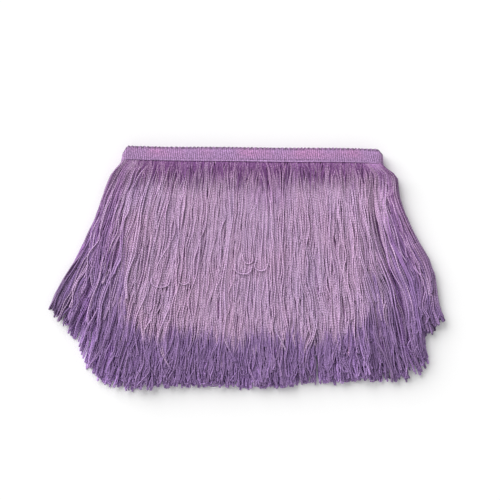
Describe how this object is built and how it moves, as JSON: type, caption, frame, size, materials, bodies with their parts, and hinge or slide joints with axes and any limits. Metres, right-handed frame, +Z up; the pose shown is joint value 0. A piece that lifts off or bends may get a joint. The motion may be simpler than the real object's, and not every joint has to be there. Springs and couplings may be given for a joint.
{
  "type": "tassel fringe trim",
  "caption": "Narrow crocheted header wound flat, with a long dense fringe of looped chainette cords spread out below it.",
  "frame": {"origin": "centre of the bounding box in plan, on the plane that the trim rests on", "axes": "+X along the header, +Y from the fringe's tips to the header, +Z up out of the trim's front face"},
  "size_m": [0.2688, 0.1674, 0.0097],
  "materials": {
    "header_braid": "soft satin crochet",
    "fringe_yarn": "soft satin yarn"
  },
  "bodies": {
    "root": {"header": "header_braid", "fringe_back_outer": "fringe_yarn", "fringe_back_inner": "fringe_yarn", "fringe_front_inner": "fringe_yarn", "fringe_front_outer": "fringe_yarn", "fringe_left_end": "fringe_yarn", "fringe_right_end": "fringe_yarn"}
  },
  "joints": []
}
